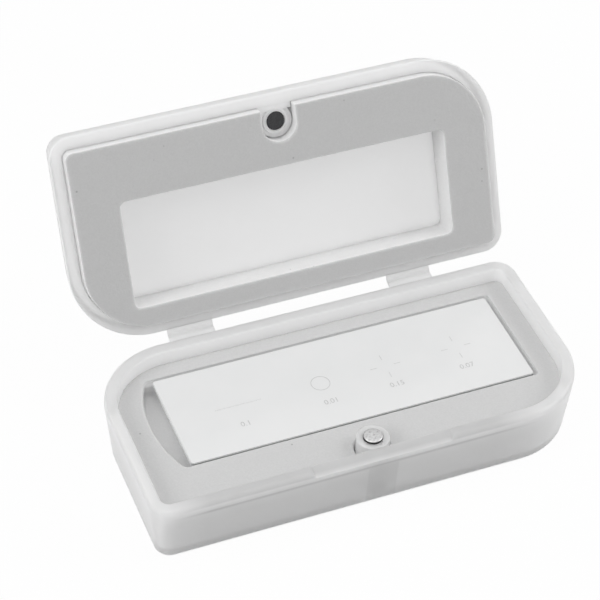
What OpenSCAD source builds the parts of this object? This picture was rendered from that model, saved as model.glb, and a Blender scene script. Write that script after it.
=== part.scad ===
// Hinged case for one microscope slide, lid open, with its calibration slide.
// Millimetres, +Z up. The origin is the centre of the base's underside,
// +X runs along the slide and the hinge is on the +Y side.

/* [Case] */
// Length of the case over its walls
case_l = 97; // [92:0.5:120]
// Width of the case over its walls
case_w = 46; // [44:0.5:60]
// Height of the base, underside to rim
base_h = 14.1; // [12:0.1:20]
// Height of the lid, rim to top panel
lid_h = 6.3; // [5.8:0.1:12]
// Radius of the two large corners in plan
big_r = 16.5; // [8:0.5:20]
// Radius of the two small corners in plan
small_r = 4.5; // [4:0.25:8]
// Width of the rims, outer face to inner face
rim_w = 2.7; // [2.2:0.1:3.2]
// Thickness of the base's floor
floor_t = 1.6; // [1:0.1:2.5]
// Thickness of the lid's top panel
panel_t = 1.6; // [1:0.1:2.5]
// How far the base's walls lean in at the underside
base_draft = 1.1; // [0.4:0.1:1.5]
// How far the lid's walls lean in at the panel
lid_draft = 0.8; // [0.3:0.1:1.5]
// Radius of the outer edges of underside and panel
edge_r = 1.2; // [0.8:0.1:2]
// Radius of the rims' outer edges
rim_r = 0.4; // [0.2:0.1:0.6]
// Gap between the two rims when shut
rim_gap = 0.2; // [0.1:0.05:0.5]
// Width of the thumb notch in the front rim
notch_w = 30; // [18:1:40]
// Depth of the thumb notch at the outer face
notch_d = 1; // [0.5:0.1:2]

/* [Hinge] */
// How far the lid is open, in degrees
lid_open_angle = 111.8; // [0:0.2:180]
// Width of a hinge strap
strap_w = 10; // [6:0.5:16]
// Distance between the centres of the straps
strap_span = 50; // [30:1:54]
// How far the pair of straps sits off the case's middle
strap_shift = 0.5; // [-2:0.1:2]
// Thickness of a strap's leaf
strap_t = 0.65; // [0.5:0.05:0.9]
// Distance of the film line behind the back walls
film_back = 1.4; // [1.2:0.05:2]
// Radius of the bead that stands for the bent film
film_r = 0.45; // [0.4:0.05:0.5]
// Clearance round that bead
film_clear = 0.06; // [0.03:0.01:0.1]

/* [Slide] */
// Length of the glass slide
slide_l = 76.2; // [74:0.1:77]
// Width of the glass slide
slide_w = 25; // [24:0.1:27]
// Thickness of the glass slide
slide_t = 1; // [0.8:0.05:1.2]
// Cut corner of the slide
slide_cut = 0.4; // [0.2:0.1:1]
// Slide's centre along the case
slide_x = 2.2; // [0:0.1:3]
// Slide's centre across the case
slide_y = 3.8; // [2:0.1:4]

/* [Foam] */
// How far the foam bed lies below the rim
foam_drop = 3.4; // [2:0.1:5]
// Gap between the foam and the walls
foam_gap = 0.1; // [0.1:0.05:0.5]
// Gap between the slide's long sides and its pocket
pocket_gap = 0.35; // [0.2:0.05:0.6]
// Gap at the slide's right end
right_gap = 0.8; // [0.3:0.1:1.2]
// Gap at the slide's left end
left_gap = 1.5; // [0.5:0.1:1.6]
// How far the slide's top lies below the foam
slide_sink = 0.2; // [0:0.1:0.6]
// How far the fingernail recess bulges past the pocket
recess_bulge = 2.95; // [2:0.05:3]
// Depth of the fingernail recess below the foam's top
recess_d = 3.5; // [2:0.1:7]
// How far the lid's foam stands out of the rim
foam_proud = 2.4; // [1:0.1:2.6]
// Length of the window in the lid's foam
window_l = 71.9; // [50:0.1:76]
// Width of the window in the lid's foam
window_w = 23.5; // [15:0.1:24]
// Corner radius of that window
window_r = 1.2; // [0.5:0.1:3]
// Window's centre along the case
window_x = 0.05; // [-1:0.05:2]
// Window's centre across the case
window_y = 4.1; // [2:0.1:5]
// Thickness of the adhesive film under the foam
tape_t = 0.2; // [0.1:0.05:0.3]

/* [Magnets] */
// Diameter of a disc magnet
magnet_d = 4; // [3:0.1:4.4]
// Thickness of a disc magnet
magnet_t = 2; // [1:0.1:3]
// Distance of the magnets from the front face
magnet_in = 6.25; // [6.1:0.05:7]
// Diameter of the boss in the base
base_boss_d = 6.9; // [6:0.1:7]
// Diameter of the boss in the lid
lid_boss_d = 5.6; // [5.4:0.1:6.4]
// How far the base's boss lies below its rim
base_boss_drop = 0.6; // [0.3:0.1:1.5]
// How far the base's magnet stands out of its boss
magnet_proud = 0.5; // [0.1:0.1:0.7]
// How far the lid's magnet lies inside its boss
magnet_sink = 0.2; // [0.1:0.05:0.5]

/* [Hidden] */
$fn = 64;

half_l = case_l / 2;
half_w = case_w / 2;
rim_edge = 0.3;                        // chamfer on the rims' inner edges
inner_draft = 0.1;                     // lean of the inner walls
overlap = 0.3;                         // how far joined solids run into each other
wall_foot = base_draft + edge_r + overlap;
inner_foot = max(rim_w + inner_draft, wall_foot + overlap);
lid_foot = max(rim_w + inner_draft, lid_draft + edge_r + 2 * overlap);
lid_z = base_h + rim_gap;              // the lid's rim plane when shut
rim_land = 1.5;                        // upright part of the base's walls below the rim

// Plan corners: centre, radius, start angle. Large and small radii sit crosswise.
corners = [
    [half_l - small_r, half_w - small_r, small_r, 0],
    [big_r - half_l, half_w - big_r, big_r, 90],
    [small_r - half_l, small_r - half_w, small_r, 180],
    [half_l - big_r, big_r - half_w, big_r, 270]
];

foam_top = base_h - foam_drop;
foam_bottom = floor_t + tape_t;
foam_inset = inner_foot + foam_gap;
slide_top = foam_top - slide_sink;
slide_bottom = slide_top - slide_t;
pocket_l = left_gap + slide_l + right_gap;
pocket_w = slide_w + 2 * pocket_gap;
pocket_left = slide_x - slide_l / 2 - left_gap;
recess_w = pocket_w - 1;               // the recess leaves a short step at each corner
recess_r = (pow(pocket_w / 2, 2) + pow(recess_bulge, 2)) / (2 * recess_bulge);
recess_under = 3;                      // how far the recess runs under the slide's end
lid_foam_low = lid_z - foam_proud;
lid_inside = lid_z + lid_h - panel_t;
lid_foam_inset = lid_foot + 3 * foam_gap;
magnet_y = magnet_in - half_w;
base_boss_top = base_h - base_boss_drop;
base_magnet_z = base_boss_top + magnet_proud - magnet_t;
lid_boss_drop = 0.1;                   // the lid's boss lies this far inside its rim
lid_magnet_z = lid_z + lid_boss_drop + magnet_sink;
bore_clear = 0.05;
boss_gap = 0.3;                        // gap between the base's boss and the foams' cut-outs
web_w = 3;                             // rib between the base's boss and the front wall
web_low = 1.5;
lid_web_w = 4.6;                       // block between the lid's boss and the front wall
magnet_cut = 0.25;                     // chamfer on the magnets' edges

film_y = half_w + film_back;
film_z = lid_z - rim_gap / 2;
leaf_in = 0.05;                        // the leaves lie this far inside the rims
leaf_face = rim_gap / 2 + leaf_in;     // distance of a leaf from the film line's level
leaf_end = 0.1;                        // a leaf ends this far before the film line
leaf_foot = 0.5;                       // height and width of the fillet at a leaf's root

// Quarter disc that rounds an outer edge; turn sets the quadrant it fills.
module quarter(r, turn) {
    intersection() {
        circle(r = r);
        rotate(turn)
            square(r);
    }
}

// The base's wall in section: x is the distance inside the outline, y the height.
module base_section() {
    polygon([
        [base_draft + edge_r, 0], [inner_foot, 0], [inner_foot, floor_t],
        [rim_w, base_h - rim_edge], [rim_w - rim_edge, base_h], [rim_r, base_h], [0, base_h - rim_r],
        [0, base_h - rim_land], [base_draft, edge_r]
    ]);
    translate([base_draft + edge_r, edge_r])
        quarter(edge_r, 180);
    translate([rim_r, base_h - rim_r])
        quarter(rim_r, 90);
}

// The lid's wall in section, its rim at height 0.
module lid_section() {
    polygon([
        [rim_r, 0], [rim_w - rim_edge, 0], [rim_w, rim_edge], [lid_foot, lid_h - panel_t], [lid_foot, lid_h],
        [lid_draft + edge_r, lid_h], [lid_draft, lid_h - edge_r], [0, rim_r]
    ]);
    translate([lid_draft + edge_r, lid_h - edge_r])
        quarter(edge_r, 90);
    translate([rim_r, rim_r])
        quarter(rim_r, 180);
}

// One straight side: the section extruded from one corner's centre to the next.
module side(turn, from, to, out) {
    rotate([0, 0, turn])
        translate([from, out, 0])
            rotate([90, 0, 90])
                linear_extrude(to - from)
                    mirror([1, 0])
                        children();
}

// A wall section carried all round the case's outline.
module wall() {
    for (c = corners)
        translate([c[0], c[1], 0])
            rotate([0, 0, c[3]])
                rotate_extrude(angle = 90)
                    translate([c[2], 0])
                        mirror([1, 0])
                            children();
    side(0, corners[1][0], corners[0][0], half_w)
        children();
    side(90, corners[2][1], corners[1][1], half_l)
        children();
    side(180, -corners[3][0], -corners[2][0], half_w)
        children();
    side(270, -corners[0][1], -corners[3][1], half_l)
        children();
}

// The case's outline in plan, drawn in by inset.
module outline(inset) {
    for (c = corners)
        translate([c[0], c[1]])
            circle(r = c[2] - inset);
    translate([corners[1][0], 0])
        square([corners[0][0] - corners[1][0], half_w - inset]);
    translate([corners[2][0], inset - half_w])
        square([corners[3][0] - corners[2][0], half_w - inset]);
    translate([inset - half_l, corners[2][1]])
        square([half_l - inset, corners[1][1] - corners[2][1]]);
    translate([0, corners[3][1]])
        square([half_l - inset, corners[0][1] - corners[3][1]]);
}

// Cut-out in a foam pad that clears the base's boss, open to the front.
module boss_cut() {
    d = base_boss_d + 2 * boss_gap;
    translate([0, magnet_y])
        circle(d = d);
    translate([-d / 2, magnet_y - half_w])
        square([d, half_w]);
}

// A strap's leaf in section, seen from the film line: it hangs below the line's
// level, ends short of the line and runs root past the back wall's face.
module leaf_section(root) {
    back = -film_back - root;
    low = -leaf_face - strap_t;
    polygon([
        [-leaf_end, -leaf_face], [back, -leaf_face], [back, low - leaf_foot - root],
        [leaf_foot - film_back, low], [-leaf_end, low]
    ]);
}

// A section across the hinge, extruded over one strap's width.
module across(x) {
    translate([x - strap_w / 2, film_y, film_z])
        rotate([90, 0, 90])
            linear_extrude(strap_w)
                children();
}

// Disc magnet with its lower face at z.
module magnet(z) {
    translate([0, magnet_y, z])
        rotate_extrude()
            polygon([[0, 0], [magnet_d / 2 - magnet_cut, 0], [magnet_d / 2, magnet_cut],
                [magnet_d / 2, magnet_t - magnet_cut], [magnet_d / 2 - magnet_cut, magnet_t], [0, magnet_t]]);
}

// Lid turned about the film line.
module at_lid() {
    translate([0, film_y, film_z])
        rotate([-lid_open_angle, 0, 0])
            translate([0, -film_y, -film_z])
                children();
}

module base_shell() {
    color("gainsboro")
        difference() {
            union() {
                wall()
                    base_section();
                linear_extrude(floor_t)
                    outline(wall_foot);
                translate([0, magnet_y, floor_t - overlap])
                    cylinder(d = base_boss_d, h = base_boss_top - floor_t + overlap);
                translate([-web_w / 2, rim_w / 2 - half_w, floor_t - overlap])
                    cube([web_w, magnet_in - rim_w / 2, base_h - web_low - floor_t + overlap]);
            }
            translate([0, magnet_y, base_magnet_z])
                cylinder(d = magnet_d + 2 * bore_clear, h = magnet_t);
            thumb_notch();
        }
}

// Scooped notch across the front rim, with rounded ends: it falls from the inner edge to the outer face.
module thumb_notch() {
    run = rim_w + overlap;
    translate([0, run - half_w, base_h])
        rotate([90 + atan(notch_d / run), 0, 0])
            linear_extrude(2 * rim_w) {
                translate([notch_d - notch_w / 2, 0])
                    square([notch_w - 2 * notch_d, 2 * notch_d]);
                for (s = [-1, 1])
                    translate([s * (notch_w / 2 - notch_d), notch_d])
                        circle(r = notch_d);
            }
}

module lid_shell() {
    color("gainsboro")
        at_lid()
            difference() {
                union() {
                    translate([0, 0, lid_z])
                        wall()
                            lid_section();
                    translate([0, 0, lid_inside])
                        linear_extrude(panel_t)
                            outline(lid_draft + edge_r + overlap);
                    for (s = [-1, 1])
                        across(strap_shift + s * strap_span / 2)
                            difference() {
                                mirror([0, 1])
                                    leaf_section(rim_w / 2);
                                circle(r = film_r + film_clear);
                            }
                    translate([0, magnet_y, lid_z + lid_boss_drop])
                        cylinder(d = lid_boss_d, h = lid_inside - lid_z - lid_boss_drop + overlap);
                    translate([-lid_web_w / 2, rim_w / 2 - half_w, lid_z + 2 * lid_boss_drop])
                        cube([lid_web_w, magnet_in - rim_w / 2, lid_inside - lid_z]);
                }
                translate([0, magnet_y, lid_magnet_z + magnet_t - lid_h])
                    cylinder(d = magnet_d + 2 * bore_clear, h = lid_h);
            }
}

// The base's leaf of one strap, with the bead on the film line.
module hinge_strap(x) {
    color("gainsboro")
        across(x) {
            leaf_section(0);
            circle(r = film_r);
        }
}

module hinge_strap_left() {
    hinge_strap(strap_shift - strap_span / 2);
}

module hinge_strap_right() {
    hinge_strap(strap_shift + strap_span / 2);
}

// The bulged fingernail recess in plan: it runs a little way under the slide's left end.
module recess() {
    intersection() {
        translate([pocket_left - recess_bulge + recess_r, slide_y])
            circle(r = recess_r);
        translate([pocket_left + recess_under - pocket_l, slide_y - recess_w / 2])
            square([pocket_l, recess_w]);
    }
}

module base_foam() {
    color("silver")
        difference() {
            translate([0, 0, foam_bottom])
                linear_extrude(foam_top - foam_bottom)
                    difference() {
                        outline(foam_inset);
                        boss_cut();
                    }
            translate([0, 0, slide_bottom])
                linear_extrude(base_h)
                    translate([pocket_left, slide_y - pocket_w / 2])
                        square([pocket_l, pocket_w]);
            translate([0, 0, foam_top - recess_d])
                linear_extrude(base_h)
                    recess();
        }
}

module lid_foam() {
    color("darkgray")
        at_lid()
            translate([0, 0, lid_foam_low])
                linear_extrude(lid_inside - tape_t - lid_foam_low)
                    lid_foam_plan();
}

// The lid's foam in plan: a frame with a window and a cut round the boss.
module lid_foam_plan() {
    difference() {
        outline(lid_foam_inset);
        translate([window_x, window_y])
            window();
        boss_cut();
    }
}

// The window in plan, with rounded corners.
module window() {
    square([window_l - 2 * window_r, window_w], center = true);
    square([window_l, window_w - 2 * window_r], center = true);
    for (sx = [-1, 1], sy = [-1, 1])
        translate([sx * (window_l / 2 - window_r), sy * (window_w / 2 - window_r)])
            circle(r = window_r);
}

module base_foam_tape() {
    color("white")
        translate([0, 0, floor_t])
            linear_extrude(tape_t)
                difference() {
                    outline(foam_inset);
                    boss_cut();
                }
}

module lid_foam_tape() {
    color("white")
        at_lid()
            translate([0, 0, lid_inside - tape_t])
                linear_extrude(tape_t)
                    lid_foam_plan();
}

module base_magnet() {
    color("lightsteelblue")
        magnet(base_magnet_z);
}

module lid_magnet() {
    color("dimgray")
        at_lid()
            magnet(lid_magnet_z);
}

module calibration_slide() {
    long = slide_l / 2;
    short = slide_w / 2;
    color("azure")
        translate([slide_x, slide_y, slide_bottom])
            linear_extrude(slide_t)
                polygon([
                    [long, short - slide_cut], [long - slide_cut, short],
                    [slide_cut - long, short], [-long, short - slide_cut],
                    [-long, slide_cut - short], [slide_cut - long, -short],
                    [long - slide_cut, -short], [long, slide_cut - short]
                ]);
}

base_shell();
lid_shell();
hinge_strap_left();
hinge_strap_right();
base_foam();
lid_foam();
base_foam_tape();
lid_foam_tape();
base_magnet();
lid_magnet();
calibration_slide();
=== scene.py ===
import math

import bmesh
import bpy
from mathutils import Matrix, Vector, noise


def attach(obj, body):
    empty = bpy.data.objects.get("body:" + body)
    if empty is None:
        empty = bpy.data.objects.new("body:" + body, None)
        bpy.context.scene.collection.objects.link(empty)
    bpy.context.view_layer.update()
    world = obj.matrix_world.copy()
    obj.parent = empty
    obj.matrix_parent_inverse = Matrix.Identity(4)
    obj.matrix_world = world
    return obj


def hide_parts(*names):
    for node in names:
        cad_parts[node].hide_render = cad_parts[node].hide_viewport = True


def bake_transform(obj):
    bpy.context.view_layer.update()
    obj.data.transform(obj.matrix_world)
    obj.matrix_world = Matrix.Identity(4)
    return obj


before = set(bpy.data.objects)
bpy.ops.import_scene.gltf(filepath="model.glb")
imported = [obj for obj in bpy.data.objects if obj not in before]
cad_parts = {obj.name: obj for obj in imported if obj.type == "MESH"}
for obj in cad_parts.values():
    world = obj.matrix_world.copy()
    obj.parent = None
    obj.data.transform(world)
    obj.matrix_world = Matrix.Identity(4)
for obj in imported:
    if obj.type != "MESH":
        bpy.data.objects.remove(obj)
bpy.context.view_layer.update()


# Base tray: an open box, injection-moulded in frosted natural polypropylene.
# Two large and two small plan corners sit crosswise, the walls lean in towards
# the floor, and a boss for the catch magnet stands behind the thumb notch.
# Sizes are in mm; the walls' belly is given as shares of their lean and height.
MM = 0.001
CASE_L, CASE_W = 97.0, 46.0
BIG_R, SMALL_R = 16.5, 4.5
BASE_H, FLOOR_T, RIM_W = 14.1, 1.6, 2.7
INNER_FOOT, INNER_R = 2.9, 0.35
BASE_LEAN, FOOT_R, LAND = 1.1, 1.2, 1.55
BACK_NOSE, FRONT_NOSE, NOTCH_NOSE = 0.4, 1.0, 0.12
NOTCH_W, NOTCH_D, NOTCH_RAMP = 30.0, 1.0, 0.5
MAGNET_Y = 6.25 - CASE_W / 2
BOSS_R, BOSS_TOP, BORE_R, BORE_FLOOR = 3.45, 13.5, 2.05, 12.0
BOSS_EDGE, BORE_EDGE, ROOT_SINK = 0.3, 0.15, 0.3
RIB_W, RIB_TOP, RIB_CLEAR = 3.0, 12.6, 0.7
BASE_BELLY = ((0.32, 0.64), (0.68, 0.35))
BIG_STEPS, SMALL_STEPS, FRONT_STEP, WALL_STEP = 40, 18, 0.4, 3.0
STRAIGHT_FRONT, SMOOTH_UP_TO = -0.999, 35


def linear(code):
    """An sRGB hex colour as linear RGBA."""
    parts = [int(code[k:k + 2], 16) / 255 for k in (0, 2, 4)]
    return [p / 12.92 if p <= 0.04045 else ((p + 0.055) / 1.055) ** 2.4 for p in parts] + [1.0]


def add_node(tree, kind, inputs=None, **settings):
    """Adds a node; an input is a value, or the socket that feeds it."""
    node = tree.nodes.new(kind)
    for name, value in settings.items():
        setattr(node, name, value)
    for name, value in (inputs or {}).items():
        if isinstance(value, bpy.types.NodeSocket):
            tree.links.new(value, node.inputs[name])
        else:
            node.inputs[name].default_value = value
    return node


def new_material(name):
    """A material with its node tree, its shader and the piece's own coordinates."""
    material = bpy.data.materials.new(name)
    material.use_nodes = True
    tree = material.node_tree
    return material, tree, tree.nodes["Principled BSDF"], add_node(tree, "ShaderNodeTexCoord").outputs["Object"]


def arc(cx, cy, r, first, last, steps):
    """Points on an arc, angles in degrees."""
    turns = [math.radians(first + (last - first) * k / steps) for k in range(steps + 1)]
    return [(cx + r * math.cos(a), cy + r * math.sin(a)) for a in turns]


def case_corners():
    """The plan corners: centre, radius and start angle."""
    x, y = CASE_L / 2, CASE_W / 2
    return [
        (x - SMALL_R, y - SMALL_R, SMALL_R, 0), (BIG_R - x, y - BIG_R, BIG_R, 90),
        (SMALL_R - x, SMALL_R - y, SMALL_R, 180), (x - BIG_R, BIG_R - y, BIG_R, 270),
    ]


def case_outline():
    """Stations round the case: a centre, a radius and the direction out of the wall."""
    corners = case_corners()
    stations = []
    for k, (cx, cy, r, start) in enumerate(corners):
        steps = BIG_STEPS if r == BIG_R else SMALL_STEPS
        for s in range(steps + 1):
            a = math.radians(start + 90 * s / steps)
            stations.append((cx, cy, r, math.cos(a), math.sin(a)))
        nx, ny, nr, _ = corners[(k + 1) % 4]
        front = start == 180
        pieces = round(math.hypot(nx - cx, ny - cy) / (FRONT_STEP if front else WALL_STEP))
        for s in range(1, pieces):
            t = s / pieces
            stations.append((cx + (nx - cx) * t, cy + (ny - cy) * t, r + (nr - r) * t,
                             math.cos(math.radians(start + 90)), math.sin(math.radians(start + 90))))
    return stations


def sweep(section_at):
    """Carries a wall section round the case and closes both ends with a flat face."""
    mesh = bmesh.new()
    rings = []
    for cx, cy, r, nx, ny in case_outline():
        rings.append([mesh.verts.new(((cx + (r - d) * nx) * MM, (cy + (r - d) * ny) * MM, z * MM))
                      for d, z in section_at(cx, ny)])
    for a, b in zip(rings, rings[1:] + rings[:1]):
        for k in range(len(a) - 1):
            mesh.faces.new((a[k], b[k], b[k + 1], a[k + 1]))
    mesh.faces.new([ring[0] for ring in rings])
    mesh.faces.new([ring[-1] for ring in rings])
    bmesh.ops.recalc_face_normals(mesh, faces=mesh.faces)
    return mesh


def lathe(section, x, y, steps=64):
    """A round solid from a section of (radius, height) points that starts and ends on its axis."""
    mesh = bmesh.new()
    rings = []
    for r, z in section:
        if r == 0:
            rings.append([mesh.verts.new((x * MM, y * MM, z * MM))] * steps)
            continue
        rings.append([mesh.verts.new(((x + px) * MM, (y + py) * MM, z * MM))
                      for px, py in arc(0, 0, r, 0, 360, steps)[:-1]])
    for a, b in zip(rings, rings[1:]):
        for k in range(steps):
            corners = (a[k], a[(k + 1) % steps], b[(k + 1) % steps], b[k])
            mesh.faces.new(list(dict.fromkeys(corners)))
    bmesh.ops.recalc_face_normals(mesh, faces=mesh.faces)
    return mesh


def block(low, high):
    """A box between two corners."""
    mesh = bmesh.new()
    bmesh.ops.create_cube(mesh, size=1.0)
    for v in mesh.verts:
        v.co = [((h + l) / 2 + c * (h - l)) * MM for c, l, h in zip(v.co, low, high)]
    return mesh


def new_object(name, data):
    """An object with this data, in the scene."""
    thing = bpy.data.objects.new(name, data)
    bpy.context.scene.collection.objects.link(thing)
    return thing


def smooth(data, sharp=SMOOTH_UP_TO):
    """Shades a mesh smooth, apart from edges sharper than an angle."""
    data.shade_smooth()
    data.set_sharp_from_angle(angle=math.radians(sharp))


def new_piece(name, mesh, material, sharp=SMOOTH_UP_TO):
    """Makes a piece from a bmesh."""
    data = bpy.data.meshes.new(name)
    mesh.to_mesh(data)
    mesh.free()
    data.materials.append(material)
    smooth(data, sharp)
    return new_object(name, data)


def settle(piece):
    """Turns a piece's modifiers into its plain mesh."""
    piece.data = bpy.data.meshes.new_from_object(piece.evaluated_get(bpy.context.evaluated_depsgraph_get()))
    piece.modifiers.clear()


def fuse(piece, *solids):
    """Moulds further solids onto a piece, so that it is one closed skin."""
    for solid in solids:
        tool = new_piece("tool", solid, piece.data.materials[0])
        union = piece.modifiers.new("union", "BOOLEAN")
        union.operation, union.solver, union.object = "UNION", "EXACT", tool
        settle(piece)
        bpy.data.objects.remove(tool)
    smooth(piece.data)


def nose_radius(out_y):
    """The rims' outer edges are full at the front and crisp at the back."""
    return BACK_NOSE + (FRONT_NOSE - BACK_NOSE) * (1 - out_y) / 2


def base_section(x, out_y):
    """The tray's wall as (distance inside the outline, height), floor to foot."""
    ramp = (NOTCH_W / 2 + NOTCH_RAMP / 2 - abs(x)) / NOTCH_RAMP if out_y < STRAIGHT_FRONT else 0
    ramp = min(max(ramp, 0), 1)
    ramp = ramp * ramp * (3 - 2 * ramp)
    nose = nose_radius(out_y) * (1 - ramp) + NOTCH_NOSE * ramp
    points = [(INNER_FOOT, FLOOR_T)]
    points += arc(RIM_W - INNER_R, BASE_H - INNER_R, INNER_R, 0, 90, 5)
    points += arc(nose, BASE_H - nose, nose, 90, 180, 8)
    points = [(d, z - NOTCH_D * ramp * max(1 - d / RIM_W, 0)) for d, z in points]
    points += [(0, BASE_H - LAND)] + [(BASE_LEAN * lean, BASE_H * up) for lean, up in BASE_BELLY]
    points += arc(BASE_LEAN + FOOT_R, FOOT_R, FOOT_R, 180, 270, 10)
    return points


# Frosted natural polypropylene, moulded against an eroded tool: light goes in and
# comes out a few millimetres away, so thick rims read whiter and thin walls greyer,
# and the fine grain (0.15 mm, drawn at 0.4 mm so that it shows) breaks the gloss.
# About a third of the light goes straight on into the wall, and all of it comes out again.
# Below 12 mm the front wall's colour is greyed by painted shade for the foam that stands close behind it. A darker
# painted shadow line runs at the foam's top edge, and painted shade lies where the magnet's boss stands. The rim's
# top carries painted shade too, lighter along its nose. Towards the corners this fades.
RIM_PAINTED_SHADE, NOSE_PAINTED_SHADE, FOAM_EDGE_PAINTED_SHADOW, BELOW_PAINTED_SHADE, BOSS_PAINTED_SHADE = 0.85, 0.35, 1.0, 0.3, 0.55
GREY_LOW, GREY_HIGH = 10, 15
PAINTED_SHADE_AT = ((11.2, BELOW_PAINTED_SHADE), (11.8, FOAM_EDGE_PAINTED_SHADOW), (12.3, NOSE_PAINTED_SHADE), (13.15, NOSE_PAINTED_SHADE), (13.5, RIM_PAINTED_SHADE))
FRONT_Y, FULL_Y, FADES_X = -19.9, -20.5, ((-45, -37), (35, 25))
BOSS_BLUR, BOSS_FADE, BOSS_FULL = 0.4, 12.6, 11.8
FLOW, GRAIN, SCATTER = 16, 0.4, 4
polypropylene, tree, shader, place = new_material("moulded_frosted_polypropylene")
flow = add_node(tree, "ShaderNodeTexNoise", {"Vector": place, "Scale": 1 / (FLOW * MM), "Detail": 2.0})
tone = add_node(tree, "ShaderNodeMix", {0: flow.outputs[0], 6: linear("f1f1f1"), 7: linear("f6f6f6")},
                data_type="RGBA")
axes = add_node(tree, "ShaderNodeSeparateXYZ", {0: place}).outputs
front = add_node(tree, "ShaderNodeMapRange", {"Value": axes["Y"], "From Min": FRONT_Y * MM, "From Max": FULL_Y * MM})
height = add_node(tree, "ShaderNodeMapRange", {"Value": axes["Z"], "From Min": GREY_LOW * MM,
                                              "From Max": GREY_HIGH * MM})
edge = add_node(tree, "ShaderNodeValToRGB", {"Fac": height.outputs[0]})
for z, grey in PAINTED_SHADE_AT:
    edge.color_ramp.elements.new((z - GREY_LOW) / (GREY_HIGH - GREY_LOW)).color = (grey, grey, grey, 1)
edge.color_ramp.elements[0].color = (BELOW_PAINTED_SHADE, BELOW_PAINTED_SHADE, BELOW_PAINTED_SHADE, 1)
edge.color_ramp.elements[-1].color = (RIM_PAINTED_SHADE, RIM_PAINTED_SHADE, RIM_PAINTED_SHADE, 1)
# Painted shade band where the magnet's boss stands behind the front wall.
aside = add_node(tree, "ShaderNodeMath", {0: axes["X"]}, operation="ABSOLUTE")
boss_painted_shade = add_node(tree, "ShaderNodeMapRange", {"Value": aside.outputs[0], "From Min": (BOSS_R + BOSS_BLUR) * MM,
                                              "From Max": (BOSS_R - BOSS_BLUR) * MM})
below = add_node(tree, "ShaderNodeMapRange", {"Value": axes["Z"], "From Min": BOSS_FADE * MM,
                                             "From Max": BOSS_FULL * MM, "To Max": BOSS_PAINTED_SHADE})
boss_painted_shade = add_node(tree, "ShaderNodeMath", {0: boss_painted_shade.outputs[0], 1: below.outputs[0]}, operation="MULTIPLY")
grey = add_node(tree, "ShaderNodeMath", {0: edge.outputs[0], 1: boss_painted_shade.outputs[0]}, operation="MAXIMUM")
over = add_node(tree, "ShaderNodeMath", {0: front.outputs[0], 1: grey.outputs[0]}, operation="MULTIPLY")
for corner, straight in FADES_X:
    along = add_node(tree, "ShaderNodeMapRange", {"Value": axes["X"], "From Min": corner * MM,
                                                 "From Max": straight * MM})
    over = add_node(tree, "ShaderNodeMath", {0: over.outputs[0], 1: along.outputs[0]}, operation="MULTIPLY")
# Mixes the painted shade into the plastic's tone, towards this grey.
tone = add_node(tree, "ShaderNodeMix", {0: over.outputs[0], 6: tone.outputs[2], 7: linear("cacaca")},
                data_type="RGBA")
grain = add_node(tree, "ShaderNodeTexNoise", {"Vector": place, "Scale": 1 / (GRAIN * MM), "Detail": 2.0})
dull = add_node(tree, "ShaderNodeMapRange", {"Value": grain.outputs[0], "To Min": 0.28, "To Max": 0.36})
skin = add_node(tree, "ShaderNodeBump", {"Height": grain.outputs[0], "Strength": 0.03, "Distance": 0.03 * MM})
for source, socket in ((tone.outputs[2], "Base Color"), (dull.outputs[0], "Roughness"),
                       (skin.outputs[0], "Normal")):
    tree.links.new(source, shader.inputs[socket])
shader.inputs["IOR"].default_value = 1.49
shader.inputs["Subsurface Weight"].default_value = 1.0
shader.inputs["Subsurface Radius"].default_value = (1.0, 1.0, 1.0)
shader.inputs["Subsurface Scale"].default_value = SCATTER * MM
behind = add_node(tree, "ShaderNodeNewGeometry").outputs["Backfacing"]
clear = add_node(tree, "ShaderNodeMapRange", {"Value": behind, "To Min": 0.32, "To Max": 1.0})
tree.links.new(clear.outputs[0], shader.inputs["Transmission Weight"])

base_tray = new_piece("base_tray", sweep(base_section), polypropylene)
root = FLOOR_T - ROOT_SINK
boss = [(0, root), (BOSS_R, root)] + arc(BOSS_R - BOSS_EDGE, BOSS_TOP - BOSS_EDGE, BOSS_EDGE, 0, 90, 4)
boss += arc(BORE_R + BORE_EDGE, BOSS_TOP - BORE_EDGE, BORE_EDGE, 90, 180, 3)
boss += [(BORE_R, BORE_FLOOR), (0, BORE_FLOOR)]
rib = block((-RIB_W / 2, RIM_W / 2 - CASE_W / 2, root), (RIB_W / 2, MAGNET_Y - BORE_R - RIB_CLEAR, RIB_TOP))
fuse(base_tray, lathe(boss, 0, MAGNET_Y), rib)
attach(base_tray, "base")
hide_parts("base_shell")


# Lid: the same moulding as the tray, shallower, with a boss for the second magnet
# that a block joins to the front wall. It is drawn shut, then turned open on the
# line of the film hinge, which runs 1.4 mm behind the back walls.
LID_H, PANEL_T, LID_LEAN, LID_FOOT = 6.3, 1.6, 0.8, 2.8
RIM_GAP, LID_INNER_R, LID_NOSE = 0.2, 0.12, 0.42
LID_Z = BASE_H + RIM_GAP
LID_BELLY = ((0.4, 0.36), (0.7, 0.6))
LID_BOSS_R, LID_BOSS_INSET, LID_BOSS_EDGE, LID_BORE_EDGE = 2.85, 0.1, 0.2, 0.1
COLLAR_R, COLLAR_DROP, WEB_INSET, WEB_CLEAR = 3.6, 0.4, 0.05, 0.3
LID_MAGNET_Z, MAGNET_T = LID_Z + 0.3, 2.0
OPEN_ANGLE = -111.8
FILM_Y, FILM_Z = CASE_W / 2 + 1.4, BASE_H + RIM_GAP / 2
film_line = Matrix.Translation((0, FILM_Y * MM, FILM_Z * MM))
opened = film_line @ Matrix.Rotation(math.radians(OPEN_ANGLE), 4, "X") @ film_line.inverted()


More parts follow.
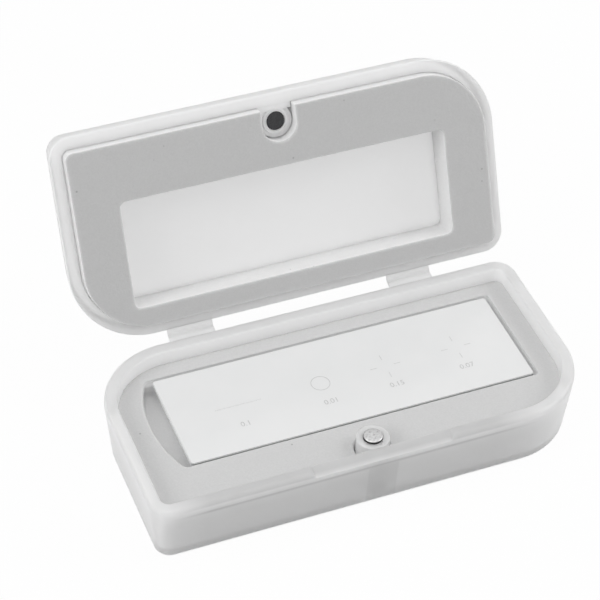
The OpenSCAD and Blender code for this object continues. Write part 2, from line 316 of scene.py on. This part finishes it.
def lid_section(x, out_y):
    """The lid's wall as (distance inside the outline, height), panel to rim to top."""
    nose = nose_radius(out_y) * LID_NOSE
    points = [(LID_FOOT, LID_H - PANEL_T)]
    points += arc(RIM_W - LID_INNER_R, LID_INNER_R, LID_INNER_R, 0, -90, 5)
    points += arc(nose, nose, nose, 270, 180, 8)
    points += [(LID_LEAN * lean, LID_H * up) for lean, up in LID_BELLY]
    points += arc(LID_LEAN + FOOT_R, LID_H - FOOT_R, FOOT_R, 180, 90, 10)
    return [(d, LID_Z + h) for d, h in points]


lid_cover = new_piece("lid_cover", sweep(lid_section), polypropylene)
low, bore_end, high = LID_Z + LID_BOSS_INSET, LID_MAGNET_Z + MAGNET_T, LID_Z + LID_H - PANEL_T + ROOT_SINK
boss = [(0, high), (COLLAR_R, high), (COLLAR_R, low + COLLAR_DROP), (LID_BOSS_R, low + COLLAR_DROP)]
boss += arc(LID_BOSS_R - LID_BOSS_EDGE, low + LID_BOSS_EDGE, LID_BOSS_EDGE, 0, -90, 4)
boss += arc(BORE_R + LID_BORE_EDGE, low + LID_BORE_EDGE, LID_BORE_EDGE, 270, 180, 3)
boss += [(BORE_R, bore_end), (0, bore_end)]
web = block((-COLLAR_R, RIM_W / 2 - CASE_W / 2, low + WEB_INSET), (COLLAR_R, MAGNET_Y - BORE_R - WEB_CLEAR, high))
fuse(lid_cover, lathe(boss, 0, MAGNET_Y), web)
lid_cover.data.transform(opened)
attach(lid_cover, "lid")
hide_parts("lid_shell")


# Hinge straps: two ribbons moulded in one with tray and lid. Each thins to a film
# on the hinge line, where the plastic bends each time the lid is opened. The profile
# is given as shares of the width and of half the thickness.
STRAP_W, STRAP_SPAN, STRAP_SHIFT = 10.0, 50.0, 0.5
STRAP_T, FILM_T, FILM_HALF = 0.62, 0.3, 0.25
ROOT_Y, ROOT_DROP, ROOT_CURVE = CASE_W / 2 - ROOT_SINK, 0.475, 1.2
THIN_RUN, STRAP_STEPS = 0.5, 14
STRAP_PROFILE = ((-0.5, -0.6), (-0.5, 0.6), (-0.49, 1), (0.49, 1), (0.5, 0.6), (0.5, -0.6), (0.49, -1), (-0.49, -1))


def strap_line():
    """The ribbon's middle (y, z) and half thickness, from the tray's rim over the film to the lid's."""
    shut = []
    for k in range(STRAP_STEPS + 1):
        t = k / STRAP_STEPS
        y = ROOT_Y + (FILM_Y - ROOT_Y) * t
        z = FILM_Z - ROOT_DROP * (1 - t) ** ROOT_CURVE
        thin = min(max((FILM_Y - y - FILM_HALF) / THIN_RUN, 0), 1)
        shut.append((y, z, (FILM_T + (STRAP_T - FILM_T) * thin) / 2))
    far = []
    for y, z, half in reversed(shut[:-1]):
        p = opened @ Vector((0, y * MM, (2 * FILM_Z - z) * MM))
        far.append((p.y / MM, p.z / MM, half))
    return shut + far


for side, name in ((-1, "hinge_strap_left"), (1, "hinge_strap_right")):
    line = strap_line()
    mesh = bmesh.new()
    middle = STRAP_SHIFT + side * STRAP_SPAN / 2
    rings = []
    for k, (y, z, half) in enumerate(line):
        y0, z0, _ = line[max(k - 1, 0)]
        y1, z1, _ = line[min(k + 1, len(line) - 1)]
        run = math.hypot(y1 - y0, z1 - z0)
        up_y, up_z = -(z1 - z0) / run * half, (y1 - y0) / run * half
        rings.append([mesh.verts.new(((middle + dx * STRAP_W) * MM, (y + up_y * lift) * MM, (z + up_z * lift) * MM))
                      for dx, lift in STRAP_PROFILE])
    for a, b in zip(rings, rings[1:]):
        for k in range(len(a)):
            after = (k + 1) % len(a)
            mesh.faces.new((a[k], b[k], b[after], a[after]))
    mesh.faces.new(rings[0])
    mesh.faces.new(rings[-1])
    bmesh.ops.recalc_face_normals(mesh, faces=mesh.faces)
    strap = new_piece(name + "_film", mesh, polypropylene)
    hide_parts(name)
    film = len(line) // 2
    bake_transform(strap)


# Foam pads: closed-cell foam sheet, die-cut, so its faces are flat and its cut edges
# a little soft and ragged. One pad beds the slide in the tray, the other is a frame
# in the lid that presses on the slide's edges only. RAGGED holds depths and widths.
VOXEL, SEAT_SPARE, PAD_GAP, SHUT_GAP, TAPE_T = 0.3, 1.2, 0.02, 0.2, 0.2
SPREAD, OUTER_BAND, INNER_BAND, SKIN_DEPTH, TUCK = 0.6, 0.1, 0.5, 0.4, 0.1
RAGGED = ((0.035, 0.9), (0.03, 7))
PAD_SHARP, SAME = 60, 0.001
CELL, FLECK, PORE_SPACING, PORE_IN, PORE_OUT = 0.45, 0.4, 6, 0.02, 0.045


def foam_material(name, dark, light, depth):
    """Closed-cell foam between two greys, which light enters to a depth in mm."""
    material, tree, shader, place = new_material(name)
    cells = add_node(tree, "ShaderNodeTexVoronoi", {"Vector": place, "Scale": 1 / (CELL * MM)})
    fleck = add_node(tree, "ShaderNodeTexNoise", {"Vector": place, "Scale": 1 / (FLECK * MM), "Detail": 3.0})
    tone = add_node(tree, "ShaderNodeMix", {0: fleck.outputs[0], 6: linear(dark), 7: linear(light)},
                    data_type="RGBA")
    pores = add_node(tree, "ShaderNodeTexVoronoi", {"Vector": place, "Scale": 1 / (PORE_SPACING * MM)})
    pore = add_node(tree, "ShaderNodeMapRange", {"Value": pores.outputs["Distance"], "From Min": PORE_IN,
                                                "From Max": PORE_OUT, "To Min": 0.55, "To Max": 0.0})
    spotted = add_node(tree, "ShaderNodeMix", {0: pore.outputs[0], 6: tone.outputs[2], 7: linear("8c8c8c")},
                       data_type="RGBA")
    dents = add_node(tree, "ShaderNodeBump", {"Height": cells.outputs["Distance"], "Strength": 0.35,
                                             "Distance": 0.08 * MM})
    tree.links.new(spotted.outputs[2], shader.inputs["Base Color"])
    tree.links.new(dents.outputs[0], shader.inputs["Normal"])
    shader.inputs["Roughness"].default_value = 0.95
    shader.inputs["Specular IOR Level"].default_value = 0.2
    shader.inputs["Subsurface Weight"].default_value = 0.8
    shader.inputs["Subsurface Radius"].default_value = (1.0, 1.0, 1.0)
    shader.inputs["Subsurface Scale"].default_value = depth * MM
    return material


# The sheet's faces have a grey skin with fine pores. Its cut edges show open cells, which light enters further, so
# that they read softer; they are also painted paler, a painted light on walls that stand in shade. The lid's pad has
# a darker copy of the same skin, a painted shade for its face that looks forward.
tray_skin = foam_material("closed_cell_foam_skin_pale", "cecece", "dadada", 1)
lid_skin_painted_shade = foam_material("closed_cell_foam_skin_grey", "c7c7c7", "d2d2d2", 1)
cut_edge_painted_light = foam_material("die_cut_foam_edge", "e5e5e5", "eeeeee", 3)


def way_out(x, y):
    """How far a point (mm) lies inside the case's outline, and the direction out."""
    for cx, cy, r, start in case_corners():
        dx, dy = x - cx, y - cy
        side_x, side_y = ((1, 1), (-1, 1), (-1, -1), (1, -1))[start // 90]
        if dx * side_x > 0 and dy * side_y > 0:
            far = math.hypot(dx, dy)
            return r - far, dx / far, dy / far
    to_end, to_side = CASE_L / 2 - abs(x), CASE_W / 2 - abs(y)
    if to_end < to_side:
        return to_end, math.copysign(1, x), 0.0
    return to_side, 0.0, math.copysign(1, y)


def laid_flat(node, turn):
    """A copy of a CAD node as a closed mesh, turned back to where it lies when the case is shut."""
    mesh = bmesh.new()
    mesh.from_mesh(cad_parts[node].data)
    bmesh.ops.remove_doubles(mesh, verts=mesh.verts, dist=SAME * MM)
    mesh.transform(turn.inverted())
    return mesh


def foam_pad(name, node, skin, turn, wall_at, seat, away):
    """A soft-edged pad in the place of a CAD foam node, which is remeshed as it lies when the case is shut.

    Its sides spread until the case's wall stops them, which lies wall_at(height) inside the outline.
    It is cut crisp at its seat, the height of its glued face, which looks up or down as away says."""
    mesh = laid_flat(node, turn)
    edge = min(way_out(v.co.x / MM, v.co.y / MM)[0] for v in mesh.verts)
    for v in mesh.verts:
        inset, out_x, out_y = way_out(v.co.x / MM, v.co.y / MM)
        if inset < edge + OUTER_BAND:
            v.co += Vector((out_x, out_y, 0)) * SPREAD * MM
        if abs(v.co.z - seat * MM) < 10 * SAME * MM:
            v.co.z += away * SEAT_SPARE * MM
    pad = new_piece(name, mesh, skin)
    remesh = pad.modifiers.new("remesh", "REMESH")
    remesh.mode, remesh.voxel_size, remesh.use_smooth_shade = "VOXEL", VOXEL * MM, True
    soften = pad.modifiers.new("soften", "SMOOTH")
    soften.factor, soften.iterations = 0.5, 2
    settle(pad)
    mesh = bmesh.new()
    mesh.from_mesh(pad.data)
    top = min((v.co.z for v in mesh.verts), key=lambda z: away * z)
    moves = []
    for v in mesh.verts:
        ragged = sum(depth * noise.noise(v.co / (width * MM)) for depth, width in RAGGED)
        if way_out(v.co.x / MM, v.co.y / MM)[0] > edge + INNER_BAND:
            ragged -= TUCK * (1 if abs(v.co.z - top) > SKIN_DEPTH * MM else 1 - abs(v.normal.z))
        at = v.co + v.normal * ragged * MM
        inset, out_x, out_y = way_out(at.x / MM, at.y / MM)
        moves.append(at - Vector((out_x, out_y, 0)) * max(wall_at(at.z / MM) - inset, 0) * MM)
    for v, at in zip(mesh.verts, moves):
        v.co = at
    bmesh.ops.bisect_plane(mesh, geom=mesh.verts[:] + mesh.edges[:] + mesh.faces[:], plane_co=(0, 0, seat * MM),
                           plane_no=(0, 0, away), clear_outer=True)
    bmesh.ops.triangle_fill(mesh, use_beauty=True, edges=[e for e in mesh.edges if e.is_boundary])
    bmesh.ops.recalc_face_normals(mesh, faces=mesh.faces)
    # Faces deeper than the skin take the cut-edge copy, painted paler as painted light.
    for face in mesh.faces:
        face.material_index = 1 if abs(face.calc_center_median().z - top) > SKIN_DEPTH * MM else 0
    mesh.transform(turn)
    pad.data.materials.clear()
    pad.data.materials.append(skin)
    pad.data.materials.append(cut_edge_painted_light)
    mesh.to_mesh(pad.data)
    mesh.free()
    smooth(pad.data, PAD_SHARP)
    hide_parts(node)
    return pad


def base_wall(z):
    """The tray's inner face, with the gap that is left before it."""
    return RIM_W + (INNER_FOOT - RIM_W) * (BASE_H - z) / (BASE_H - FLOOR_T) + PAD_GAP


def lid_wall(z):
    """The lid's inner face, with the gap that is left before it; past the rim, the way in of the shut tray."""
    if z < LID_Z:
        return RIM_W + SHUT_GAP
    return RIM_W + (LID_FOOT - RIM_W) * (z - LID_Z) / (LID_H - PANEL_T) + PAD_GAP


unturned = Matrix.Identity(4)
base_pad = foam_pad("base_foam_pad", "base_foam", tray_skin, unturned, base_wall, FLOOR_T + TAPE_T, -1)
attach(base_pad, "base")
lid_pad = foam_pad("lid_foam_pad", "lid_foam", lid_skin_painted_shade, opened, lid_wall, LID_Z + LID_H - PANEL_T - TAPE_T, 1)
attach(lid_pad, "lid")


# Adhesive films: clear double-sided acrylic tape that holds each foam pad. It lies a
# little back from the foam's edges, so that it doesn't show. Its glue looks hazy.
TAPE_BACK, SIDE_FACE, HAZE = 0.4, 0.5, 3
tape, tree, shader, place = new_material("double_sided_acrylic_tape")
haze = add_node(tree, "ShaderNodeTexNoise", {"Vector": place, "Scale": 1 / (HAZE * MM), "Detail": 2.0})
tone = add_node(tree, "ShaderNodeMix", {0: haze.outputs[0], 6: linear("f4f4f2"), 7: linear("fcfcfb")},
                data_type="RGBA")
tree.links.new(tone.outputs[2], shader.inputs["Base Color"])
shader.inputs["Roughness"].default_value = 0.35
shader.inputs["IOR"].default_value = 1.47
shader.inputs["Transmission Weight"].default_value = 0.95
for node, body, turn in (("base_foam_tape", "base", unturned), ("lid_foam_tape", "lid", opened)):
    mesh = laid_flat(node, turn)
    mesh.normal_update()
    moves = []
    for v in mesh.verts:
        out = sum((face.normal for face in v.link_faces if abs(face.normal.z) < SIDE_FACE), Vector())
        moves.append(out.normalized() * TAPE_BACK * MM)
    for v, back in zip(mesh.verts, moves):
        v.co -= back
    mesh.transform(turn)
    film = new_piece(node + "_film", mesh, tape)
    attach(film, body)
    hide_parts(node)


# Catch magnets: two 4 x 2 mm discs of sintered magnet, glued into the bosses. The
# tray's is nickel-plated and stands proud; the lid's is dark and lies just inside.
# Their faces are crowned by a rise at each radius.
MAGNET_R, MAGNET_EDGE, CROWN = 2.0, 0.22, ((0, 0.02), (1.0, 0.015))


def magnet_disc(low):
    """A disc with rolled edges and a barely crowned face."""
    high = low + MAGNET_T
    section = [(r, low - rise) for r, rise in CROWN]
    section += arc(MAGNET_R - MAGNET_EDGE, low + MAGNET_EDGE, MAGNET_EDGE, 270, 360, 5)
    section += arc(MAGNET_R - MAGNET_EDGE, high - MAGNET_EDGE, MAGNET_EDGE, 0, 90, 5)
    section += [(r, high + rise) for r, rise in reversed(CROWN)]
    return lathe(section, 0, MAGNET_Y)


# Bright nickel plate from a barrel: a mirror broken by fine scuffs and a cloudy bloom.
# Its side is painted dark up to just below the face, a painted shade.
SIDE_SHADE_END, SIDE_SHADE_FULL, SCUFF = 13.95, 13.8, 0.5
nickel, tree, shader, place = new_material("barrel_plated_nickel")
scuff = add_node(tree, "ShaderNodeTexNoise", {"Vector": place, "Scale": 1 / (SCUFF * MM), "Detail": 4.0})
bloom = add_node(tree, "ShaderNodeMix", {0: scuff.outputs[0], 6: linear("a0a0a0"), 7: linear("e8e8e8")},
                 data_type="RGBA")
depth = add_node(tree, "ShaderNodeSeparateXYZ", {0: place}).outputs["Z"]
# Painted shade on the disc's side, from just below the face down.
glued = add_node(tree, "ShaderNodeMapRange", {"Value": depth, "From Min": SIDE_SHADE_END * MM,
                                             "From Max": SIDE_SHADE_FULL * MM})
bloom = add_node(tree, "ShaderNodeMix", {0: glued.outputs[0], 6: bloom.outputs[2], 7: linear("3c3c3c")},
                 data_type="RGBA")
blur = add_node(tree, "ShaderNodeMapRange", {"Value": scuff.outputs[0], "To Min": 0.15, "To Max": 0.5})
dint = add_node(tree, "ShaderNodeBump", {"Height": scuff.outputs[0], "Strength": 0.3, "Distance": 0.05 * MM})
for source, socket in ((bloom.outputs[2], "Base Color"), (blur.outputs[0], "Roughness"),
                       (dint.outputs[0], "Normal")):
    tree.links.new(source, shader.inputs[socket])
shader.inputs["Metallic"].default_value = 1.0
base_disc = new_piece("base_magnet_disc", magnet_disc(BORE_FLOOR), nickel)
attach(base_disc, "base")
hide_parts("base_magnet")

# Near black with a fine grey grain and little gloss: the darkness that shade and dark reflection give the disc in
# its recess is painted into its colour.
SPECK = 0.35
magnet_painted_shade, tree, shader, place = new_material("ground_sintered_magnet")
specks = add_node(tree, "ShaderNodeTexNoise", {"Vector": place, "Scale": 1 / (SPECK * MM), "Detail": 3.0})
tone = add_node(tree, "ShaderNodeMix", {0: specks.outputs[0], 6: linear("1f1f20"), 7: linear("4c4c4e")},
                data_type="RGBA")
pits = add_node(tree, "ShaderNodeBump", {"Height": specks.outputs[0], "Strength": 0.4, "Distance": 0.05 * MM})
tree.links.new(tone.outputs[2], shader.inputs["Base Color"])
tree.links.new(pits.outputs[0], shader.inputs["Normal"])
shader.inputs["Metallic"].default_value = 0.4
shader.inputs["Roughness"].default_value = 0.5
lid_disc = new_piece("lid_magnet_disc", magnet_disc(LID_MAGNET_Z), magnet_painted_shade)
lid_disc.data.transform(opened)
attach(lid_disc, "lid")
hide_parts("lid_magnet")


# Calibration slide: a standard 76 x 25 x 1 mm slide of opal-white glass, sawn, with
# cut corners and ground edges. It lies loose in the pocket of the foam bed. Its polished
# faces are glossy, with wide faint smears from wiping.
SLIDE_L, SLIDE_W, SLIDE_T = 76.2, 25.0, 1.0
SLIDE_X, SLIDE_Y, SLIDE_TOP = 2.2, 3.8, 10.5
CORNER_CUT, GROUND_EDGE, SIDE_ON, SLIDE_SHARP = 0.4, 0.12, 0.6, 25
SMEAR, FROST = 9, 0.5
glass, tree, shader, place = new_material("polished_opal_glass")
smear = add_node(tree, "ShaderNodeTexNoise", {"Vector": place, "Scale": 1 / (SMEAR * MM), "Detail": 3.0})
tone = add_node(tree, "ShaderNodeMix", {0: smear.outputs[0], 6: linear("e8e9e9"), 7: linear("eeeeee")},
                data_type="RGBA")
gloss = add_node(tree, "ShaderNodeMapRange", {"Value": smear.outputs[0], "To Min": 0.06, "To Max": 0.18})
tree.links.new(tone.outputs[2], shader.inputs["Base Color"])
tree.links.new(gloss.outputs[0], shader.inputs["Roughness"])
shader.inputs["IOR"].default_value = 1.52

# The ground sides are matt, and their dark grey is painted shade, so that a thin dark line runs along them; the left
# end, lit by the left softbox, is left as polished glass.
ground, tree, shader, place = new_material("ground_glass_edge")
frost = add_node(tree, "ShaderNodeTexNoise", {"Vector": place, "Scale": 1 / (FROST * MM), "Detail": 2.0})
tone = add_node(tree, "ShaderNodeMix", {0: frost.outputs[0], 6: linear("9a9c9c"), 7: linear("bcbebe")},
                data_type="RGBA")
tree.links.new(tone.outputs[2], shader.inputs["Base Color"])
shader.inputs["Roughness"].default_value = 0.7

mesh = bmesh.new()
long, short, cut = SLIDE_L / 2, SLIDE_W / 2, CORNER_CUT
corners = [(long, short - cut), (long - cut, short), (cut - long, short), (-long, short - cut),
           (-long, cut - short), (cut - long, -short), (long - cut, -short), (long, cut - short)]
face = mesh.faces.new([mesh.verts.new(((SLIDE_X + x) * MM, (SLIDE_Y + y) * MM, (SLIDE_TOP - SLIDE_T) * MM))
                       for x, y in corners])
raised = bmesh.ops.extrude_face_region(mesh, geom=[face])["geom"]
bmesh.ops.translate(mesh, vec=(0, 0, SLIDE_T * MM), verts=[v for v in raised if isinstance(v, bmesh.types.BMVert)])
bmesh.ops.recalc_face_normals(mesh, faces=mesh.faces)
bmesh.ops.bevel(mesh, geom=list(mesh.edges), offset=GROUND_EDGE * MM, segments=2, affect="EDGES")
for face in mesh.faces:
    # The ground sides take the dark grey of painted shade; the left end keeps the glass.
    face.material_index = 1 if abs(face.normal.y) > SIDE_ON or face.normal.x > SIDE_ON else 0
slide = new_piece("calibration_slide_glass", mesh, glass, sharp=SLIDE_SHARP)
slide.data.materials.append(ground)
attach(slide, "slide")
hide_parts("calibration_slide")


# Slide marks: an etched and filled 10 mm scale, a ring, two crosses of four short
# ticks round an empty middle, and plain numbers. They lie on the glass as a thin film
# of grey fill, which wiping has worn paler in places.
INK_T, WEAR = 0.012, 0.8
SCALE_X, SCALE_Y, SCALE_TICKS, SCALE_PITCH, SCALE_TICK, SCALE_LINE = -26.4, 3.8, 101, 0.1, 0.5, 0.025
CROSSES = (("slide_cross_middle", 11.65, 4.0), ("slide_cross_right", 28.0, 4.2))
CROSS_SPREAD, CROSS_TICK, CROSS_LINE = 2.65, 1.5, 0.11
RING_X, RING_Y, RING_IN, RING_OUT, RING_STEPS = -3.1, 3.9, 1.93, 2.07, 72
NUMBERS = (("slide_number_scale", "0.1", -21.7), ("slide_number_ring", "0.01", -2.85),
           ("slide_number_middle", "0.15", 11.95), ("slide_number_right", "0.07", 27.9))
NUMBER_Y, NUMBER_H = -1.75, 1.9
ink, tree, shader, place = new_material("etched_grey_fill")
worn = add_node(tree, "ShaderNodeTexNoise", {"Vector": place, "Scale": 1 / (WEAR * MM), "Detail": 2.0})
tone = add_node(tree, "ShaderNodeMix", {0: worn.outputs[0], 6: linear("b4b4b4"), 7: linear("d4d4d4")},
                data_type="RGBA")
tree.links.new(tone.outputs[2], shader.inputs["Base Color"])
shader.inputs["Roughness"].default_value = 0.5


def ticks_tree(name, points_kind):
    """A node tree that sets a bar on each point of a line or of a circle."""
    group = bpy.data.node_groups.new(name, "GeometryNodeTree")
    group.interface.new_socket("Geometry", in_out="OUTPUT", socket_type="NodeSocketGeometry")
    for title, kind in (("Count", "Int"), ("Spread", "Float"), ("Tick length", "Float"), ("Line width", "Float"),
                        ("Film thickness", "Float"), ("Place", "Vector"), ("Fill", "Material")):
        group.interface.new_socket(title, in_out="INPUT", socket_type="NodeSocket" + kind)
    given = add_node(group, "NodeGroupInput").outputs
    index = add_node(group, "GeometryNodeInputIndex").outputs[0]
    if points_kind == "line":
        offset = add_node(group, "ShaderNodeCombineXYZ", {"X": given["Spread"]})
        points = add_node(group, "GeometryNodeMeshLine", {"Count": given["Count"], "Offset": offset.outputs[0]})
        tenth = add_node(group, "ShaderNodeMath", {0: index, 1: 10.0}, operation="MODULO")
        fine = add_node(group, "ShaderNodeMath", {0: tenth.outputs[0], 1: 0.5}, operation="GREATER_THAN")
        half = add_node(group, "ShaderNodeMath", {0: fine.outputs[0], 1: -0.5, 2: 1.0}, operation="MULTIPLY_ADD")
        height, turn = half.outputs[0], 0.0
    else:
        points = add_node(group, "GeometryNodeMeshCircle", {"Vertices": given["Count"], "Radius": given["Spread"]})
        quarter = add_node(group, "ShaderNodeMath", {0: index, 1: math.pi / 2}, operation="MULTIPLY")
        inward = add_node(group, "ShaderNodeMath", {0: quarter.outputs[0], 1: math.pi / 2})
        height, turn = 1.0, inward.outputs[0]
    size = add_node(group, "ShaderNodeCombineXYZ", {"X": given["Line width"], "Y": given["Tick length"],
                                                   "Z": given["Film thickness"]})
    bar = add_node(group, "GeometryNodeMeshCube", {"Size": size.outputs[0]})
    stretch = add_node(group, "ShaderNodeCombineXYZ", {"X": 1.0, "Y": height, "Z": 1.0})
    spin = add_node(group, "ShaderNodeCombineXYZ", {"Z": turn})
    bars = add_node(group, "GeometryNodeInstanceOnPoints", {"Points": points.outputs[0], "Instance": bar.outputs[0],
                                                            "Rotation": spin.outputs[0],
                                                            "Scale": stretch.outputs[0]})
    solid = add_node(group, "GeometryNodeRealizeInstances", {0: bars.outputs[0]})
    moved = add_node(group, "GeometryNodeTransform", {"Geometry": solid.outputs[0], "Translation": given["Place"]})
    filled = add_node(group, "GeometryNodeSetMaterial", {"Geometry": moved.outputs[0], "Material": given["Fill"]})
    add_node(group, "NodeGroupOutput", {0: filled.outputs[0]})
    return group


def ticks(name, group, **given):
    """One row or cross of ticks as a plain mesh on the slide."""
    piece = new_object(name, bpy.data.meshes.new(name))
    modifier = piece.modifiers.new("ticks", "NODES")
    modifier.node_group = group
    for item in group.interface.items_tree:
        title = item.name.replace(" ", "_").lower()
        if item.in_out == "INPUT" and title in given:
            modifier[item.identifier] = given[title]
    settle(piece)
    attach(piece, "slide")
    return piece


mark_z = (SLIDE_TOP + INK_T / 2) * MM
row, cross = ticks_tree("scale_ticks", "line"), ticks_tree("cross_ticks", "circle")
ticks("slide_scale_ticks", row, count=SCALE_TICKS, spread=SCALE_PITCH * MM, tick_length=SCALE_TICK * MM,
      line_width=SCALE_LINE * MM, film_thickness=INK_T * MM, place=(SCALE_X * MM, SCALE_Y * MM, mark_z), fill=ink)
for name, x, y in CROSSES:
    ticks(name, cross, count=4, spread=CROSS_SPREAD * MM, tick_length=CROSS_TICK * MM, line_width=CROSS_LINE * MM,
          film_thickness=INK_T * MM, place=(x * MM, y * MM, mark_z), fill=ink)

mesh = bmesh.new()
loops = [[mesh.verts.new(((RING_X + px) * MM, (RING_Y + py) * MM, (SLIDE_TOP + lift) * MM))
          for px, py in arc(0, 0, r, 0, 360, RING_STEPS)[:-1]]
         for r, lift in ((RING_IN, 0), (RING_IN, INK_T), (RING_OUT, INK_T), (RING_OUT, 0))]
for a, b in zip(loops, loops[1:] + loops[:1]):
    for k in range(RING_STEPS):
        after = (k + 1) % RING_STEPS
        mesh.faces.new((a[k], b[k], b[after], a[after]))
bmesh.ops.recalc_face_normals(mesh, faces=mesh.faces)
ring = new_piece("slide_ring_mark", mesh, ink)
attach(ring, "slide")

for name, digits, x in NUMBERS:
    text = bpy.data.curves.new(name, "FONT")
    text.body, text.size, text.align_x, text.align_y = digits, NUMBER_H * MM, "CENTER", "CENTER"
    text.extrude, text.resolution_u = INK_T / 2 * MM, 3
    holder = new_object(name, text)
    data = bpy.data.meshes.new_from_object(holder.evaluated_get(bpy.context.evaluated_depsgraph_get()))
    bpy.data.objects.remove(holder)
    data.transform(Matrix.Translation((x * MM, NUMBER_Y * MM, mark_z)))
    data.materials.clear()
    data.materials.append(ink)
    number = new_object(name, data)
    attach(number, "slide")


# Studio: a white floor that keeps a faint shadow, even light from all round, a softbox
# at each end and a small fill from above. The camera stands where the photograph was taken.
AMBIENT, FLOOR_WHITE, PAINTED_SHADE_WHITE = 0.5, 0.97, 0.7
FLOOR_HALF, FLOOR_DROP, SHADE_INSET = 3, 0.05, 1.6
LAMP_SIZE = 0.5
LAMPS = (("left_softbox", (-0.6, -0.1, 0.45), 1.8), ("right_softbox", (0.6, -0.1, 0.45), 1.6),
         ("top_fill", (0.0, 0.1, 0.7), 0.7))
SENSOR, LENS = 36.0, 132.8635
CAMERA_AT, CAMERA_TURN = (-133.33942878, -297.27462207, 335.45281544), (47.39714046, -1.31096644, -21.34433515)


def seen_directly(tree):
    """1 for the rays of the camera, of reflections and of glass, to which the studio is plain white."""
    rays = add_node(tree, "ShaderNodeLightPath").outputs
    seen = add_node(tree, "ShaderNodeMath", {0: rays["Is Camera Ray"], 1: rays["Is Glossy Ray"]},
                    operation="MAXIMUM")
    return add_node(tree, "ShaderNodeMath", {0: seen.outputs[0], 1: rays["Is Transmission Ray"]},
                    operation="MAXIMUM").outputs[0]


world = bpy.data.worlds.new("white_studio")
bpy.context.scene.world = world
world.use_nodes = True
tree = world.node_tree
level = add_node(tree, "ShaderNodeMapRange", {"Value": seen_directly(tree), "To Min": AMBIENT, "To Max": 1.0})
tree.links.new(level.outputs[0], tree.nodes["Background"].inputs["Strength"])
tree.nodes["Background"].inputs["Color"].default_value = (1, 1, 1, 1)


def paper(name, level):
    """Matt white paper that shows as white to a level, and for the rest keeps the shadow."""
    material = bpy.data.materials.new(name)
    material.use_nodes = True
    tree = material.node_tree
    tree.nodes.remove(tree.nodes["Principled BSDF"])
    share = add_node(tree, "ShaderNodeMath", {0: seen_directly(tree), 1: level}, operation="MULTIPLY")
    matt = add_node(tree, "ShaderNodeBsdfDiffuse", {"Color": linear("e8e8e8")})
    white = add_node(tree, "ShaderNodeEmission", {"Color": (1, 1, 1, 1), "Strength": 1.0})
    both = add_node(tree, "ShaderNodeMixShader", {0: share.outputs[0], 1: matt.outputs[0], 2: white.outputs[0]})
    tree.links.new(both.outputs[0], tree.nodes["Material Output"].inputs["Surface"])
    return material


# The floor lies a hair under the case. Where the case stands, the paper shows less of its white: a painted shade.
mesh = bmesh.new()
sheet = [mesh.verts.new((x * FLOOR_HALF, y * FLOOR_HALF, -FLOOR_DROP * MM))
         for x, y in ((-1, -1), (1, -1), (1, 1), (-1, 1))]
foot = [mesh.verts.new(((cx + (r - SHADE_INSET) * nx) * MM, (cy + (r - SHADE_INSET) * ny) * MM, -FLOOR_DROP * MM))
        for cx, cy, r, nx, ny in case_outline()]
loops = [mesh.edges.new(pair) for loop in (sheet, foot) for pair in zip(loop, loop[1:] + loop[:1])]
bmesh.ops.triangle_fill(mesh, use_beauty=True, edges=loops, normal=(0, 0, 1))
# The patch under the case takes the paper with painted shade.
mesh.faces.new(foot).material_index = 1
bmesh.ops.recalc_face_normals(mesh, faces=mesh.faces)
floor = new_piece("studio_floor", mesh, paper("white_paper_floor", FLOOR_WHITE))
floor.data.materials.append(paper("white_paper_in_shade", PAINTED_SHADE_WHITE))

for name, stand, watts in LAMPS:
    lamp = bpy.data.lights.new(name, "AREA")
    lamp.shape, lamp.size, lamp.energy = "DISK", LAMP_SIZE, watts
    holder = new_object(name, lamp)
    holder.location = stand
    holder.rotation_euler = (-holder.location).to_track_quat("-Z", "Y").to_euler()

camera = bpy.data.cameras.new("camera")
camera.sensor_width, camera.lens = SENSOR, LENS
holder = new_object("camera", camera)
holder.location = [c * MM for c in CAMERA_AT]
holder.rotation_euler = [math.radians(a) for a in CAMERA_TURN]
bpy.context.scene.camera = holder
bpy.context.scene.view_settings.view_transform = "Standard"
